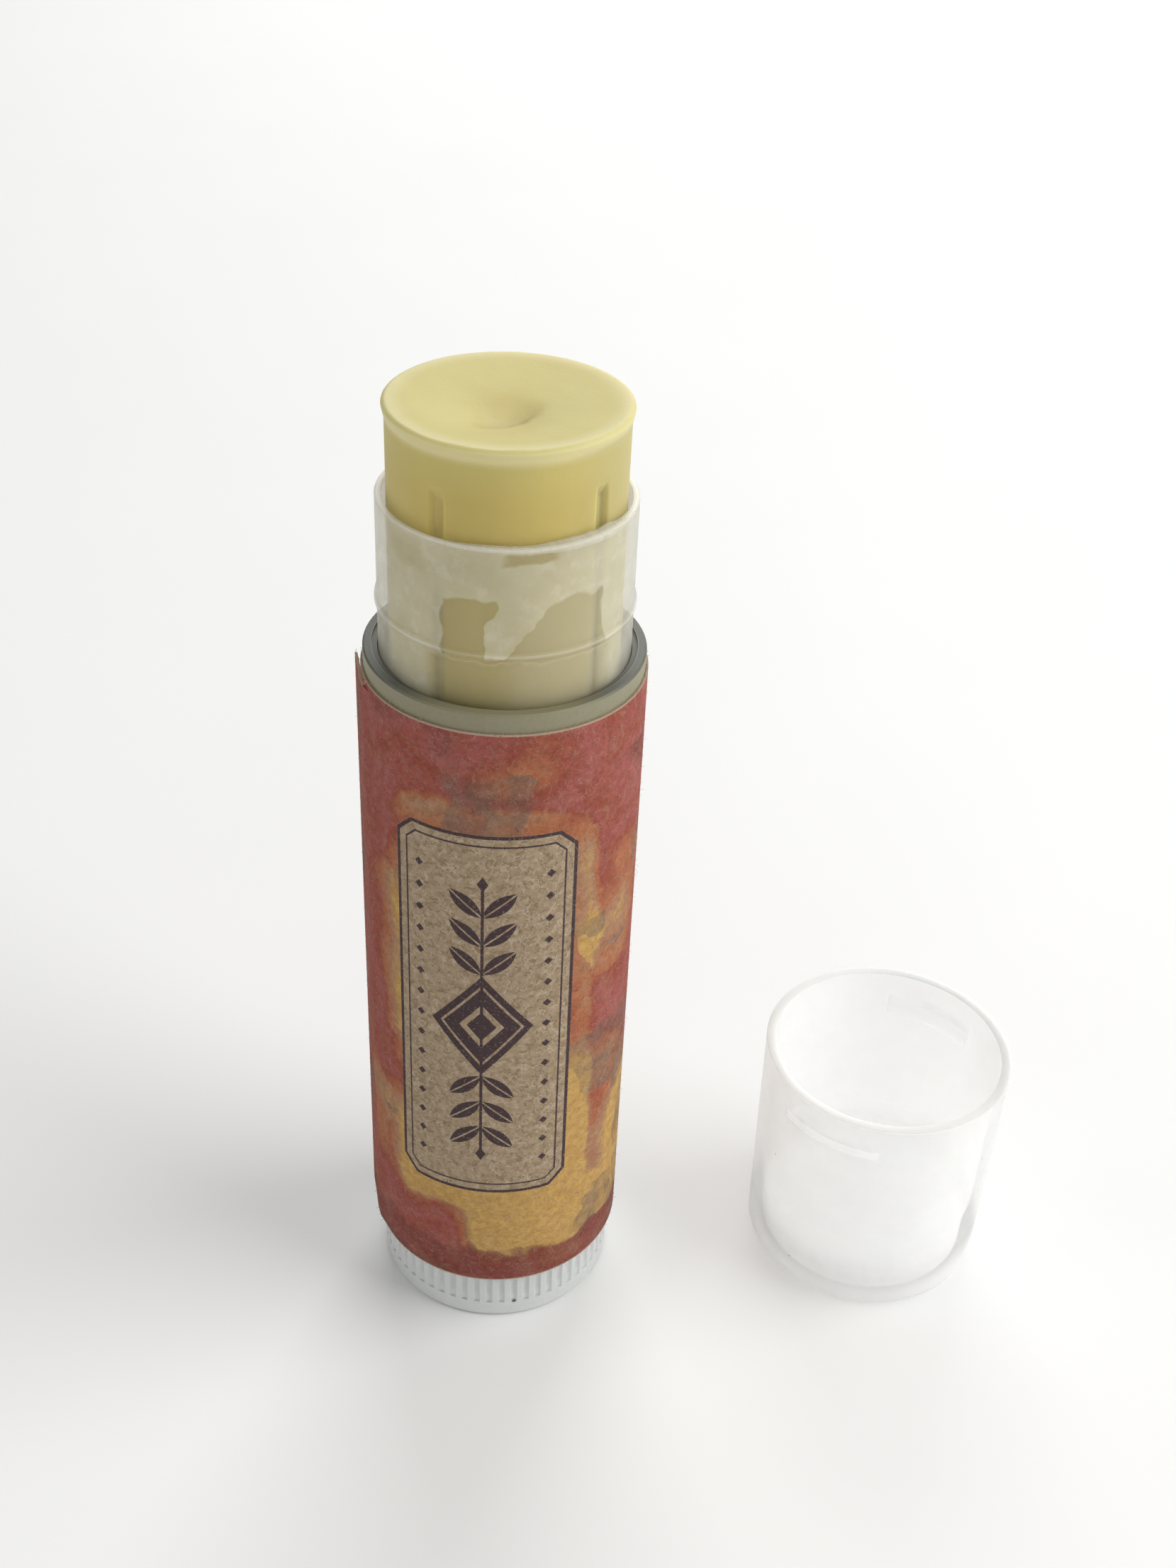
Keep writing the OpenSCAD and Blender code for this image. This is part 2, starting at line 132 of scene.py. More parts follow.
def balm_point(radius, height, zone, azimuth_deg):
    """A point of the balm's skin: azimuth 0 is the front, and positive is to the right.

    The side stays within the flare of the mouth, so that the balm can be wound down into it.
    """
    turn = math.radians(azimuth_deg)
    if zone == "side":
        radius -= groove_depth(azimuth_deg, height, radius)
        swell = Vector((math.sin(turn) * 2.0, math.cos(turn) * 2.0, height * 0.35))
        radius += 0.02 * noise.noise(swell)
        ragged = Vector((math.sin(turn) * 14, math.cos(turn) * 14, height * 1.5))
        radius -= 0.03 * abs(noise.noise(ragged)) * part_of_way(height, BALM_TOP - 1.2, BALM_TOP)
        down_lip = min(1.0, (BALM_TOP - height) / LIP_H)
        radius = min(radius, BALM_R + MOUTH_FLARE * (1 - down_lip))
    x, y = radius * math.sin(turn), -radius * math.cos(turn)
    return x, y, balm_top_height(x, y) if zone == "top" else height


def lathe(name, rings, turns, point):
    """A smooth mesh of rings round the axis. point gives the place for a ring and an azimuth."""
    skin = bmesh.new()
    rows = []
    for ring in rings:
        places = [point(*ring, 360 * i / turns) for i in range(turns)] if ring[0] else []
        corners = [skin.verts.new(Vector(place) * MM) for place in places]
        rows.append(corners or [skin.verts.new(Vector(point(*ring, 0)) * MM)] * turns)
    for above, below in zip(rows, rows[1:]):
        for i in range(turns):
            near = (i + 1) % turns
            skin.faces.new(list(dict.fromkeys([above[i], above[near], below[near], below[i]])))
    bmesh.ops.recalc_face_normals(skin, faces=skin.faces)
    mesh = bpy.data.meshes.new(name)
    skin.to_mesh(mesh)
    skin.free()
    mesh.shade_smooth()
    piece = bpy.data.objects.new(name, mesh)
    bpy.context.scene.collection.objects.link(piece)
    return piece


TOP_RINGS, CROWN_RINGS, LIP_RINGS, SIDE_RINGS = 44, 6, 10, 120
rim_r = LIP_R - RIM_W
balm_rings = [(rim_r * i / TOP_RINGS, BALM_TOP, "top") for i in range(TOP_RINGS + 1)]
for i in range(1, CROWN_RINGS + 1):
    lean = math.radians(90 * i / CROWN_RINGS)
    ring_z = BALM_TOP - RIM_W * (1 - math.cos(lean))
    balm_rings.append((rim_r + RIM_W * math.sin(lean), ring_z, "side"))
for i in range(1, LIP_RINGS + 1):
    share = i / LIP_RINGS
    ring_r = LIP_R - (LIP_R - BALM_R) * part_of_way(share, 0, 1)
    balm_rings.append((ring_r, BALM_TOP - RIM_W - (LIP_H - RIM_W) * share, "side"))
lip_foot, side_foot = BALM_TOP - LIP_H, CUP_TOP + 0.02
for i in range(1, SIDE_RINGS + 1):
    balm_rings.append((BALM_R, lip_foot + (side_foot - lip_foot) * i / SIDE_RINGS, "side"))
balm_rings += [
    (CAST_R, side_foot, "hidden"),
    (CAST_R, CAST_FLOOR, "hidden"),
    (BORE_R, CAST_FLOOR, "hidden"),
    (BORE_R, BORE_TOP, "hidden"),
    (0, BORE_TOP, "hidden"),
]
balm = lathe("balm_cast", balm_rings, BALM_TURNS, balm_point)


def wire(tree, kind, *values, **settings):
    """Adds a shader node. Values go to its inputs in order: a number, a colour, a socket or None."""
    node = tree.nodes.new("ShaderNode" + kind)
    for name, value in settings.items():
        setattr(node, name, value)
    for socket, value in zip(node.inputs, values):
        feed(tree, socket, value)
    return node


def feed(tree, socket, value):
    """Links a socket to another, or sets its plain value."""
    if isinstance(value, bpy.types.NodeSocket):
        tree.links.new(value, socket)
    elif value is not None:
        socket.default_value = value


def calc(tree, operation, *values):
    """The result of a Math node."""
    return wire(tree, "Math", *values, operation=operation).outputs[0]


def both(tree, *masks):
    """The product of masks."""
    product = masks[0]
    for mask in masks[1:]:
        product = calc(tree, "MULTIPLY", product, mask)
    return product


def either(tree, *masks):
    """The largest of masks."""
    largest = masks[0]
    for mask in masks[1:]:
        largest = calc(tree, "MAXIMUM", largest, mask)
    return largest


def none_of(tree, mask):
    """One less a mask."""
    return calc(tree, "SUBTRACT", 1.0, mask)


def fade(tree, value, start, end):
    """0 at start, 1 at end, smooth in between and level outside."""
    node = wire(tree, "MapRange", value, start, end, interpolation_type="SMOOTHSTEP")
    return node.outputs[0]


def within(tree, value, low, high, soft):
    """1 from low to high, with edges as wide as soft."""
    rise = fade(tree, value, low - soft / 2, low + soft / 2)
    return both(tree, rise, none_of(tree, fade(tree, value, high - soft / 2, high + soft / 2)))


def tint(tree, share, first, second, how="MIX"):
    """The first colour, with the second blended over it by a share."""
    node = tree.nodes.new("ShaderNodeMix")
    node.data_type = "RGBA"
    node.blend_type = how
    for index, value in ((0, share), (6, first), (7, second)):
        feed(tree, node.inputs[index], value)
    return node.outputs[2]


def between(tree, share, first, second):
    """A number from the first to the second by a share."""
    return wire(tree, "Mix", share, None, first, second).outputs[0]


def grain(tree, where, size, detail=2.0, roughness=0.5):
    """Noise from about 0 to 1 whose lumps are size millimetres across."""
    return wire(tree, "TexNoise", where, None, 1 / size, detail, roughness).outputs[0]


def sway(tree, where, size, reach, detail=2.0):
    """Noise of up to reach either way round 0."""
    return calc(tree, "MULTIPLY_ADD", grain(tree, where, size, detail), 4 * reach, -2 * reach)


def bump(tree, shader, height, depth):
    """Raises the shader's surface by depth millimetres where height is 1."""
    node = tree.nodes.new("ShaderNodeBump")
    node.inputs["Distance"].default_value = depth * MM
    feed(tree, node.inputs["Height"], height)
    tree.links.new(node.outputs[0], shader.inputs["Normal"])


def place_in_mm(tree):
    """The point's place in millimetres, as a vector and as x, y and z."""
    coords = wire(tree, "TexCoord").outputs["Object"]
    scaled = wire(tree, "VectorMath", coords, operation="SCALE")
    scaled.inputs["Scale"].default_value = 1 / MM
    split = wire(tree, "SeparateXYZ", scaled.outputs[0])
    return scaled.outputs[0], *split.outputs[:3]


def faces_up(tree, start, end):
    """0 on a wall and 1 on a level face."""
    normal = wire(tree, "TexCoord").outputs["Normal"]
    return fade(tree, wire(tree, "SeparateXYZ", normal).outputs[2], start, end)


def off_axis(tree, x, y):
    """Distance of the point from the stick's axis in millimetres."""
    return calc(tree, "SQRT", calc(tree, "ADD", both(tree, x, x), both(tree, y, y)))


def apart(tree, first, second):
    """How far apart two values are."""
    return calc(tree, "ABSOLUTE", calc(tree, "SUBTRACT", first, second))


def azimuth_in_degrees(tree, x, y):
    """Direction of the point from the stick's axis: 0 in front, positive to the right."""
    return calc(tree, "DEGREES", calc(tree, "ARCTAN2", x, calc(tree, "MULTIPLY", y, -1.0)))


def finish(name, **sockets):
    """A new material, its tree and its shader, with the shader's plain values set."""
    material = bpy.data.materials.new(name)
    material.use_nodes = True
    shader = material.node_tree.nodes["Principled BSDF"]
    for socket, value in sockets.items():
        shader.inputs[socket.replace("_", " ")].default_value = value
    return material, material.node_tree, shader


def dress(piece, material):
    """Puts one material on a piece."""
    piece.data.materials.clear()
    piece.data.materials.append(material)


wax, tree, shader = finish(
    "balm_wax",
    Subsurface_Weight=0.5,
    Subsurface_Radius=(1.0, 0.75, 0.35),
    Subsurface_Scale=1.6 * MM,
    Roughness=0.52,
    Specular_IOR_Level=0.3,
)
where, x, y, z = place_in_mm(tree)
azimuth = azimuth_in_degrees(tree, x, y)
clouds = grain(tree, where, 3.0, 3.0)
side_colour = tint(tree, clouds, (0.47, 0.37, 0.105, 1), (0.53, 0.43, 0.14, 1))
top_colour = tint(tree, clouds, (0.465, 0.395, 0.112, 1), (0.51, 0.445, 0.138, 1))
# Painted shade: the top's colour is darkened in the hollow.
middle = (*HOLLOW_AT, BALM_TOP)
off_middle = wire(tree, "VectorMath", where, middle, operation="SUBTRACT").outputs[0]
off_middle = wire(tree, "VectorMath", off_middle, (1.0, 0.6, 0.0), operation="MULTIPLY").outputs[0]
off_middle = wire(tree, "VectorMath", off_middle, operation="LENGTH").outputs["Value"]
hollow_shade = both(tree, none_of(tree, fade(tree, off_middle, 0.2, 3.0)), 0.6)
top_colour = tint(tree, hollow_shade, top_colour, (0.465, 0.365, 0.105, 1))
# Painted shade: the top's colour is darkened along the fold.
from_fold = wire(tree, "VectorMath", where, (*FOLD_MIDDLE, BALM_TOP), operation="SUBTRACT").outputs[0]
from_fold = wire(tree, "VectorMath", from_fold, (1.0, 1.0, 0.0), operation="MULTIPLY").outputs[0]
fold_r = wire(tree, "VectorMath", from_fold, operation="LENGTH").outputs["Value"]
split = wire(tree, "SeparateXYZ", from_fold)
fold_turn = azimuth_in_degrees(tree, split.outputs[0], split.outputs[1])
held = both(tree, fade(tree, fold_turn, 2.0, 18.0), none_of(tree, fade(tree, fold_turn, 30.0, 90.0)))
fold_shade = both(tree, held, within(tree, fold_r, FOLD_R - 1.0, FOLD_R + 0.15, 0.9), 0.5)
top_colour = tint(tree, fold_shade, top_colour, (0.38, 0.29, 0.075, 1))
under_rim = both(tree, fade(tree, z, BALM_TOP - 3.4, BALM_TOP - 1.0), 0.5)
side_colour = tint(tree, under_rim, side_colour, (0.54, 0.475, 0.17, 1))
# Painted highlight: the lip below the crown is lightened, as its wall gets less light than the top.
off_crown = none_of(tree, fade(tree, z, BALM_TOP - 0.24, BALM_TOP - 0.06))
lip_highlight = both(tree, fade(tree, z, BALM_TOP - 1.2, BALM_TOP - 0.5), off_crown, 0.85)
side_colour = tint(tree, lip_highlight, side_colour, (0.67, 0.615, 0.34, 1))
# Painted light: the insides of the two front grooves are lightened to soften their shade.
off_left = apart(tree, azimuth, RIB_AZIMUTHS[0])
off_right = apart(tree, azimuth, RIB_AZIMUTHS[1])
off_groove = calc(tree, "MINIMUM", off_left, off_right)
groove_painted_light = both(
    tree,
    none_of(tree, fade(tree, off_groove, 1.8, 5.0)),
    none_of(tree, fade(tree, z, GROOVE_TOP - 0.6, GROOVE_TOP + 0.1)),
)
side_colour = tint(tree, both(tree, groove_painted_light, 0.55), side_colour, (0.63, 0.53, 0.21, 1))
# Painted shade: the balm's right side is darkened, fading out towards the back.
behind = fade(tree, azimuth, 105.0, 170.0)
on_right = both(tree, fade(tree, azimuth, 15.0, 60.0), none_of(tree, behind), 0.72)
side_colour = tint(tree, on_right, side_colour, (0.40, 0.35, 0.15, 1))
colour = tint(tree, faces_up(tree, 0.3, 0.85), side_colour, top_colour)
radius = off_axis(tree, x, y)
# Painted highlight: the top is paler close to its rim.
rim_highlight = both(tree, fade(tree, radius, 5.4, 6.5), fade(tree, z, BALM_TOP - 0.8, BALM_TOP - 0.3))
colour = tint(tree, both(tree, rim_highlight, 0.75), colour, (0.57, 0.525, 0.275, 1))
# Painted shade: a brown darkening along the left groove above the mouth.
brown_turn = calc(tree, "ADD", azimuth, sway(tree, where, 0.8, 1.0))
left_groove_shade = both(
    tree,
    within(tree, brown_turn, RIB_AZIMUTHS[0] - 1.5, RIB_AZIMUTHS[0] + 2.2, 2.5),
    within(tree, z, GROOVE_TOP - 3.0, GROOVE_TOP - 0.6, 1.0),
    0.35,
)
colour = tint(tree, left_groove_shade, colour, (0.42, 0.28, 0.07, 1))
green_mark = both(
    tree,
    within(tree, azimuth, RIB_AZIMUTHS[1] + 1.6, RIB_AZIMUTHS[1] + 3.6, 1.5),
    within(tree, z, GROOVE_TOP - 1.5, GROOVE_TOP - 0.5, 0.4),
    0.35,
)
colour = tint(tree, green_mark, colour, (0.36, 0.36, 0.13, 1))
tree.links.new(colour, shader.inputs["Base Color"])
bump(tree, shader, grain(tree, where, 0.3, 4.0, 0.6), 0.015)
dress(balm, wax)
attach(balm, "elevator")
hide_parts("balm")

# Inner barrel: natural polypropylene, moulded clear enough to show the balm through its neck.
# Balm wets its inside in patches, where the wall looks clear, and dry wax clouds the rest.
# The barrel is pressed into the sleeve and keeps its snap bead and its four guide ribs.
BEAD_Z, NECK_TOP = 51.23, 57.45
plastic, tree, shader = finish(
    "barrel_plastic",
    Subsurface_Weight=1.0,
    Subsurface_Radius=(1.0, 0.95, 0.8),
    Subsurface_Scale=2.0 * MM,
    Roughness=0.42,
    Specular_IOR_Level=0.22,
)
where, x, y, z = place_in_mm(tree)
azimuth = azimuth_in_degrees(tree, x, y)
turn = calc(tree, "ADD", azimuth, sway(tree, where, 1.4, 1.8, 1.5))
high = calc(tree, "ADD", z, sway(tree, where, 1.3, 0.25, 1.5))
blobs = both(
    tree,
    within(tree, turn, -27.5, 45.5, 1.6),
    within(tree, high, 50.9, 54.4, 0.3),
)
under_bead = none_of(tree, fade(tree, high, BEAD_Z - 0.63, BEAD_Z - 0.03))
foot_zone = both(tree, within(tree, turn, -33.0, 49.0, 14.0), under_bead)
tongue_left = calc(tree, "MULTIPLY_ADD", fade(tree, high, 52.9, 54.1), 6.0, -8.6)
tongue_right = calc(tree, "MULTIPLY_ADD", high, 6.2, -6.2 * (BEAD_Z + 0.02))
tongue = both(
    tree,
    fade(tree, calc(tree, "SUBTRACT", turn, tongue_left), -0.5, 0.5),
    fade(tree, calc(tree, "SUBTRACT", tongue_right, turn), -0.5, 0.5),
    fade(tree, high, 51.15, 51.35),
)
ragged = calc(tree, "ADD", high, sway(tree, where, 0.7, 0.12, 3.0))
mouth_patch = both(tree, within(tree, turn, -1.0, 20.5, 5.0), within(tree, ragged, 56.65, 57.3, 0.3))
film = both(tree, within(tree, turn, -56.0, -38.0, 12.0), within(tree, high, 55.6, 57.1, 0.9), 0.28)
wet = both(tree, blobs, none_of(tree, tongue))
wet = either(tree, wet, both(tree, mouth_patch, 0.75), film, foot_zone)
clouds = grain(tree, where, 2.0, 3.0)
dry_colour = tint(tree, clouds, (0.56, 0.54, 0.42, 1), (0.66, 0.635, 0.51, 1))
on_right = both(tree, fade(tree, azimuth, -8.0, 12.0), none_of(tree, mouth_patch))
wet_colour = tint(tree, on_right, (0.46, 0.43, 0.26, 1), (0.51, 0.49, 0.37, 1))
radius = off_axis(tree, x, y)
on_rib = none_of(tree, fade(tree, radius, 6.49, 6.53))
scuffed = both(tree, fade(tree, grain(tree, where, 1.1, 4.0, 0.6), 0.5, 0.66), 0.4)
dry_colour = tint(tree, scuffed, dry_colour, (0.78, 0.77, 0.70, 1))
behind = fade(tree, azimuth, 105.0, 170.0)
# Painted shade: the dry wall is darkened towards the right edge.
right_edge_shade = both(tree, fade(tree, azimuth, 50.0, 80.0), none_of(tree, behind))
dry_colour = tint(tree, right_edge_shade, dry_colour, (0.50, 0.495, 0.44, 1))
colour = tint(tree, wet, dry_colour, wet_colour)
# Painted highlight on the mouth's edge and along the top of the snap bead, and painted shade under the
# bead.
mouth_edge = fade(tree, z, NECK_TOP - 0.14, NECK_TOP - 0.04)
bead_highlight = within(tree, z, BEAD_Z + 0.02, BEAD_Z + 0.14, 0.06)
painted_highlights = both(tree, either(tree, mouth_edge, bead_highlight), 0.6)
colour = tint(tree, painted_highlights, colour, (0.8, 0.8, 0.74, 1))
bead_shade = within(tree, z, BEAD_Z - 0.16, BEAD_Z - 0.04, 0.06)
colour = tint(tree, both(tree, bead_shade, 0.35), colour, (0.30, 0.29, 0.22, 1))
colour = tint(tree, on_rib, colour, (0.56, 0.52, 0.36, 1))
wet_cover = between(tree, on_right, 0.24, 0.38)
cover = between(tree, wet, between(tree, clouds, 0.46, 0.62), wet_cover)
cover = between(tree, on_rib, cover, 0.32)
bore = both(tree, none_of(tree, fade(tree, radius, 6.85, 6.95)), none_of(tree, on_rib))
colour = tint(tree, bore, colour, (0.64, 0.62, 0.52, 1))
tree.links.new(colour, shader.inputs["Base Color"])
cover = between(tree, bore, cover, 0.15)
cover = between(tree, mouth_edge, cover, 0.75)
lit_through = wire(tree, "LightPath").outputs["Is Shadow Ray"]
tree.links.new(between(tree, lit_through, cover, 0.24), shader.inputs["Alpha"])
bump(tree, shader, grain(tree, where, 0.7, 3.0), 0.03)
dress(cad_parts["inner_barrel"], plastic)

# Wax smear: balm wiped off on the mouth as the stick was used, right of the front.
# It stands a little over the mouth's edge with a ragged, almost clear upper line.
SMEAR_FROM, SMEAR_TO, SMEAR_H = -26.0, 72.0, 0.32
SMEAR_STEPS = 196
smear = bmesh.new()
rows = []
for i in range(SMEAR_STEPS + 1):
    degrees = SMEAR_FROM + (SMEAR_TO - SMEAR_FROM) * i / SMEAR_STEPS
    turn = math.radians(degrees)
    swell = 0.35 * part_of_way(degrees, SMEAR_FROM, -8) + 0.65 * part_of_way(degrees, 8, 26)
    swell *= 1 - part_of_way(degrees, 50, SMEAR_TO)
    ragged = 0.75 + 0.4 * noise.noise(Vector((degrees * 0.11, 0, 1)))
    ragged += 0.2 * noise.noise(Vector((degrees * 0.45, 4, 1)))
    top = NECK_TOP + 0.02 + SMEAR_H * swell * max(ragged, 0.1)
    foot = NECK_TOP - 0.12 - 0.2 * swell
    inner_side = [(6.66, foot), (6.67, top - 0.05), (6.74, top)]
    outer_side = [(6.85, top - 0.09), (7.08, NECK_TOP), (7.15, foot + 0.1), (7.1, foot)]
    profile = inner_side + outer_side
    places = [(r * math.sin(turn), -r * math.cos(turn), h) for r, h in profile]
    rows.append([smear.verts.new(Vector(place) * MM) for place in places])
for row, next_row in zip(rows, rows[1:]):
    for i in range(len(row)):
        near = (i + 1) % len(row)
        smear.faces.new([row[i], row[near], next_row[near], next_row[i]])
smear.faces.new(rows[0])
smear.faces.new(rows[-1])
bmesh.ops.recalc_face_normals(smear, faces=smear.faces)
mesh = bpy.data.meshes.new("wax_smear")
smear.to_mesh(mesh)
smear.free()
mesh.shade_smooth()
wax_smear = bpy.data.objects.new("wax_smear", mesh)
bpy.context.scene.collection.objects.link(wax_smear)
smear_wax, tree, shader = finish("smear_wax", Roughness=0.45, Specular_IOR_Level=0.4)
where = place_in_mm(tree)[0]
clumps = grain(tree, where, 0.5, 3.0)
tree.links.new(
    tint(tree, clumps, (0.66, 0.64, 0.53, 1), (0.73, 0.71, 0.61, 1)), shader.inputs["Base Color"]
)
tree.links.new(between(tree, clumps, 0.2, 0.42), shader.inputs["Alpha"])
bump(tree, shader, clumps, 0.012)
dress(wax_smear, smear_wax)
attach(wax_smear, "tube")

# Outer sleeve: silver-pigmented plastic tube pressed over the barrel.
# Its wall is satin grey. Its stepped top face is painted darker as a dim reflection, and paler at the
# front as a painted reflection of the neck.
SLEEVE_STEP_R, FACE_FROM = 7.5, 47.0
silver, tree, shader = finish(
    "sleeve_silver", Metallic=0.1, Roughness=0.5, Specular_IOR_Level=0.25
)
where, x, y, z = place_in_mm(tree)
radius = off_axis(tree, x, y)
specks = grain(tree, where, 0.25, 4.0)
wall_colour = tint(tree, specks, (0.215, 0.20, 0.125, 1), (0.27, 0.25, 0.17, 1))
# Painted reflection: the top face is coloured much darker than the wall of the same plastic.
face_colour = tint(tree, specks, (0.085, 0.088, 0.072, 1), (0.115, 0.118, 0.10, 1))
# Painted reflection of the neck: the top face is lighter and olive at the front.
off_front = calc(tree, "ABSOLUTE", azimuth_in_degrees(tree, x, y))
neck_reflection = none_of(tree, fade(tree, off_front, 20.0, 55.0))
face_colour = tint(tree, neck_reflection, face_colour, (0.225, 0.208, 0.125, 1))
# Painted highlight: a pale line along the step in the top face.
step_highlight = within(tree, radius, SLEEVE_STEP_R - 0.05, SLEEVE_STEP_R + 0.03, 0.04)
face_colour = tint(tree, both(tree, step_highlight, 0.6), face_colour, (0.28, 0.28, 0.25, 1))
on_top = both(tree, faces_up(tree, 0.4, 0.8), fade(tree, z, FACE_FROM, FACE_FROM + 0.4))
tree.links.new(tint(tree, on_top, wall_colour, face_colour), shader.inputs["Base Color"])
bump(tree, shader, specks, 0.004)
dress(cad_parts["outer_sleeve"], silver)

# Label: uncoated kraft paper, printed and wrapped once round the sleeve, with its end lifting.
# The print is made of loose washes of colour, with a bare kraft panel at the front that holds a
# plum border, a lozenge, two leafy sprigs and two rows of beads.
LABEL_R = 8.1
MM_PER_DEGREE = LABEL_R * math.radians(1)
LABEL_LOW, LABEL_TOP, END_DROP = 4.15, 47.05, 0.45
SEAM_TURN = -97.0
PANEL_U, PANEL_Z = -1.05, 26.4
PANEL_HALF_W, PANEL_HALF_H, PANEL_CORNER = 5.55, 14.0, 1.1
paper, tree, shader = finish("label_paper", Roughness=0.88, Specular_IOR_Level=0.15)
where, x, y, z = place_in_mm(tree)
azimuth = azimuth_in_degrees(tree, x, y)
from_seam = calc(tree, "MODULO", calc(tree, "ADD", azimuth, 720.0 - SEAM_TURN), 360.0)
along_label = calc(tree, "MULTIPLY", from_seam, MM_PER_DEGREE)
unrolled = wire(tree, "CombineXYZ", along_label, z, 0.0).outputs[0]


def warped(tree, where, size, reach):
    """The place, pushed about by up to reach millimetres in lumps of size."""
    lumps = wire(tree, "TexNoise", where, None, 1 / size, 2.0, 0.5).outputs[1]
    centred = wire(tree, "VectorMath", lumps, (0.5, 0.5, 0.5), operation="SUBTRACT").outputs[0]
    push = wire(tree, "VectorMath", centred, operation="SCALE")
    push.inputs["Scale"].default_value = 4 * reach
    return wire(tree, "VectorMath", where, push.outputs[0], operation="ADD").outputs[0]


def squeezed(tree, where, width, height):
    """The place, in units as wide and high as given."""
    units = (1 / width, 1 / height, 0.0)
    return wire(tree, "VectorMath", where, units, operation="MULTIPLY").outputs[0]


def strokes(tree, where, width, height, seed):
    """Blocky brush strokes: one random number from 0 to 1 for each."""
    place = squeezed(tree, where, width, height)
    moved = wire(tree, "VectorMath", place, (seed, seed * 1.7, 0.0), operation="ADD").outputs[0]
    cells = wire(tree, "TexVoronoi", moved, None, 1.0, distance="CHEBYCHEV")
    return wire(tree, "SeparateColor", cells.outputs["Color"]).outputs[0]


def palette(tree, share, shades):
    """A colour ramp in even steps that blend into each other."""
    ramp = wire(tree, "ValToRGB", share)
    elements = ramp.color_ramp.elements
    elements[0].color, elements[1].color = shades[0], shades[-1]
    for i, shade in enumerate(shades[1:-1], start=1):
        elements.new(i / (len(shades) - 1)).color = shade
    return ramp.outputs[0]


across = calc(tree, "SUBTRACT", along_label, -SEAM_TURN * MM_PER_DEGREE)
aside = apart(tree, across, PANEL_U)
above = apart(tree, z, PANEL_Z)
past_side = calc(tree, "SUBTRACT", aside, PANEL_HALF_W)
past_end = calc(tree, "SUBTRACT", above, PANEL_HALF_H)
past_both = calc(tree, "ADD", calc(tree, "ADD", past_side, past_end), PANEL_CORNER)
past_panel = either(tree, past_side, past_end, calc(tree, "MULTIPLY", past_both, 0.707))
in_panel = none_of(tree, fade(tree, past_panel, -0.04, 0.04))
border = either(
    tree,
    within(tree, past_panel, -0.24, 0.0, 0.05),
    within(tree, past_panel, -0.82, -0.70, 0.05),
)
ROSE, RED, BRICK = (0.33, 0.10, 0.088, 1), (0.29, 0.078, 0.052, 1), (0.18, 0.06, 0.045, 1)
ORANGE, TAN, OCHRE = (0.38, 0.145, 0.07, 1), (0.36, 0.20, 0.115, 1), (0.50, 0.315, 0.105, 1)
SLATE, PLUM = (0.155, 0.12, 0.10, 1), (0.042, 0.025, 0.034, 1)
brushed = warped(tree, warped(tree, unrolled, 4.0, 0.8), 0.7, 0.12)
wash = calc(tree, "MULTIPLY_ADD", grain(tree, unrolled, 9.0, 1.5), 1.9, -0.48)
wash = calc(tree, "MULTIPLY_ADD", strokes(tree, brushed, 7.5, 10.0, 3.0), 0.30, wash)
wash = calc(tree, "MULTIPLY_ADD", strokes(tree, brushed, 3.6, 4.4, 11.0), 0.14, wash)
off_panel = calc(tree, "ADD", past_panel, sway(tree, unrolled, 3.0, 0.5))
near_panel = none_of(tree, fade(tree, off_panel, 1.2, 2.2))
near_panel = both(tree, near_panel, between(tree, fade(tree, across, -8.2, -6.2), 0.25, 1.0))
wash = calc(tree, "MULTIPLY_ADD", near_panel, -0.36, wash)
off_foot = calc(tree, "ADD", z, sway(tree, brushed, 2.2, 0.7))
low_right = both(tree, none_of(tree, fade(tree, z, 12.0, 26.0)), fade(tree, across, -4.5, 2.0))
low_right = both(tree, low_right, fade(tree, off_foot, 6.4, 7.2))
low_right = both(tree, low_right, none_of(tree, fade(tree, across, 13.0, 22.0)))
wash = calc(tree, "MULTIPLY_ADD", low_right, -0.95, wash)
low_left = both(tree, within(tree, z, 9.0, 19.0, 4.0), within(tree, across, -16.0, -6.0, 5.0))
wash = calc(tree, "MULTIPLY_ADD", low_left, -0.20, wash)
wash = calc(tree, "MULTIPLY_ADD", fade(tree, across, 13.0, 19.0), -0.16, wash)
ink = palette(tree, wash, [OCHRE, TAN, ORANGE, RED, ROSE, RED, ROSE, BRICK])
thinned = between(tree, fade(tree, grain(tree, brushed, 1.8, 2.0), 0.35, 0.65), 0.25, 0.6)
slate_strokes = both(tree, fade(tree, strokes(tree, brushed, 4.4, 3.6, 23.0), 0.87, 0.90), thinned)
ink = tint(tree, slate_strokes, ink, SLATE)
umber = both(tree, none_of(tree, fade(tree, off_foot, 6.8, 7.1)), 0.55)
ink = tint(tree, umber, ink, (0.16, 0.05, 0.04, 1))
pooling = sway(tree, unrolled, 2.0, 0.18, 3.0)
ink = tint(tree, fade(tree, pooling, 0.0, 0.3), ink, (0.80, 0.70, 0.64, 1), "MULTIPLY")
ink = tint(tree, both(tree, fade(tree, pooling, 0.0, -0.3), 0.35), ink, (0.40, 0.26, 0.18, 1))


def fibres(tree, where, size, width, seed, share):
    """Curled pulp fibres: broken bits of the borders between warped cells."""
    moved = wire(tree, "VectorMath", where, (seed, seed, 0.0), operation="ADD").outputs[0]
    curled = warped(tree, warped(tree, moved, size, size * 0.28), size * 0.3, size * 0.1)
    cells = wire(tree, "TexVoronoi", curled, None, 1 / size, feature="DISTANCE_TO_EDGE")
    border = none_of(tree, fade(tree, cells.outputs[0], 0.0, width / size))
    return both(tree, border, fade(tree, grain(tree, moved, size * 0.8, 1.0), 1 - share, 1.08 - share))


